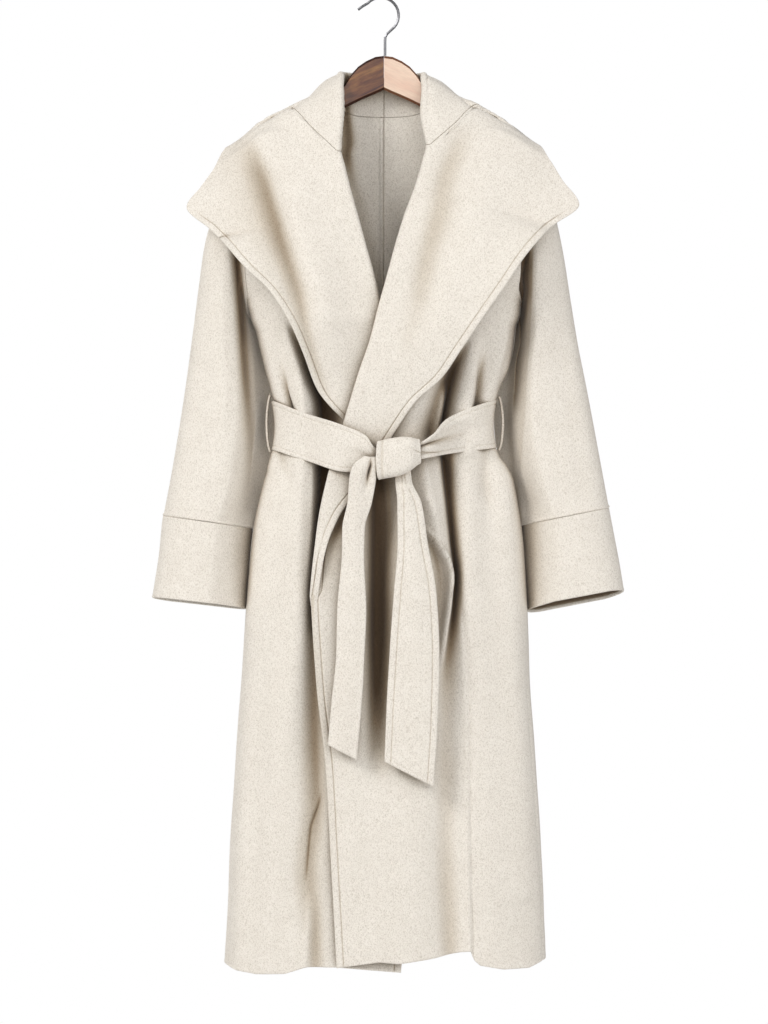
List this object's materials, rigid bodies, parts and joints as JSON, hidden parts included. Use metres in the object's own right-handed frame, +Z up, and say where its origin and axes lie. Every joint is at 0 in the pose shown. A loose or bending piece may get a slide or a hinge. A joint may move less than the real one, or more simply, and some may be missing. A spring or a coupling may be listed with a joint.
{
  "type": "wrap coat on hanger",
  "caption": "Belted wrap coat of thick felted wool with a very wide collar and lapels, hanging on a wooden hanger with a wire hook.",
  "frame": {"origin": "inside the crown of the hanger's hook, where it is hung up", "axes": "+Z up, the front of the coat faces -Y, +X towards the wearer's left"},
  "size_m": [0.66, 0.1691, 1.3598],
  "materials": {
    "wool": "felted double-faced wool",
    "wood_left": "satin varnish",
    "wood_right": "satin varnish",
    "hook_metal": "polished"
  },
  "bodies": {
    "root": {"back_left": "wool", "back_right": "wool", "front_left": "wool", "front_right": "wool", "lapel_left": "wool", "lapel_right": "wool", "collar_left": "wool", "collar_right": "wool", "sleeve_left": "wool", "sleeve_right": "wool", "cuff_left": "wool", "cuff_right": "wool", "belt_band": "wool", "belt_knot": "wool", "belt_tail_left": "wool", "belt_tail_right": "wool", "belt_loop_left": "wool", "belt_loop_right": "wool", "hanger_wing_left": "wood_left", "hanger_wing_right": "wood_right", "hanger_hook": "hook_metal"}
  },
  "joints": []
}
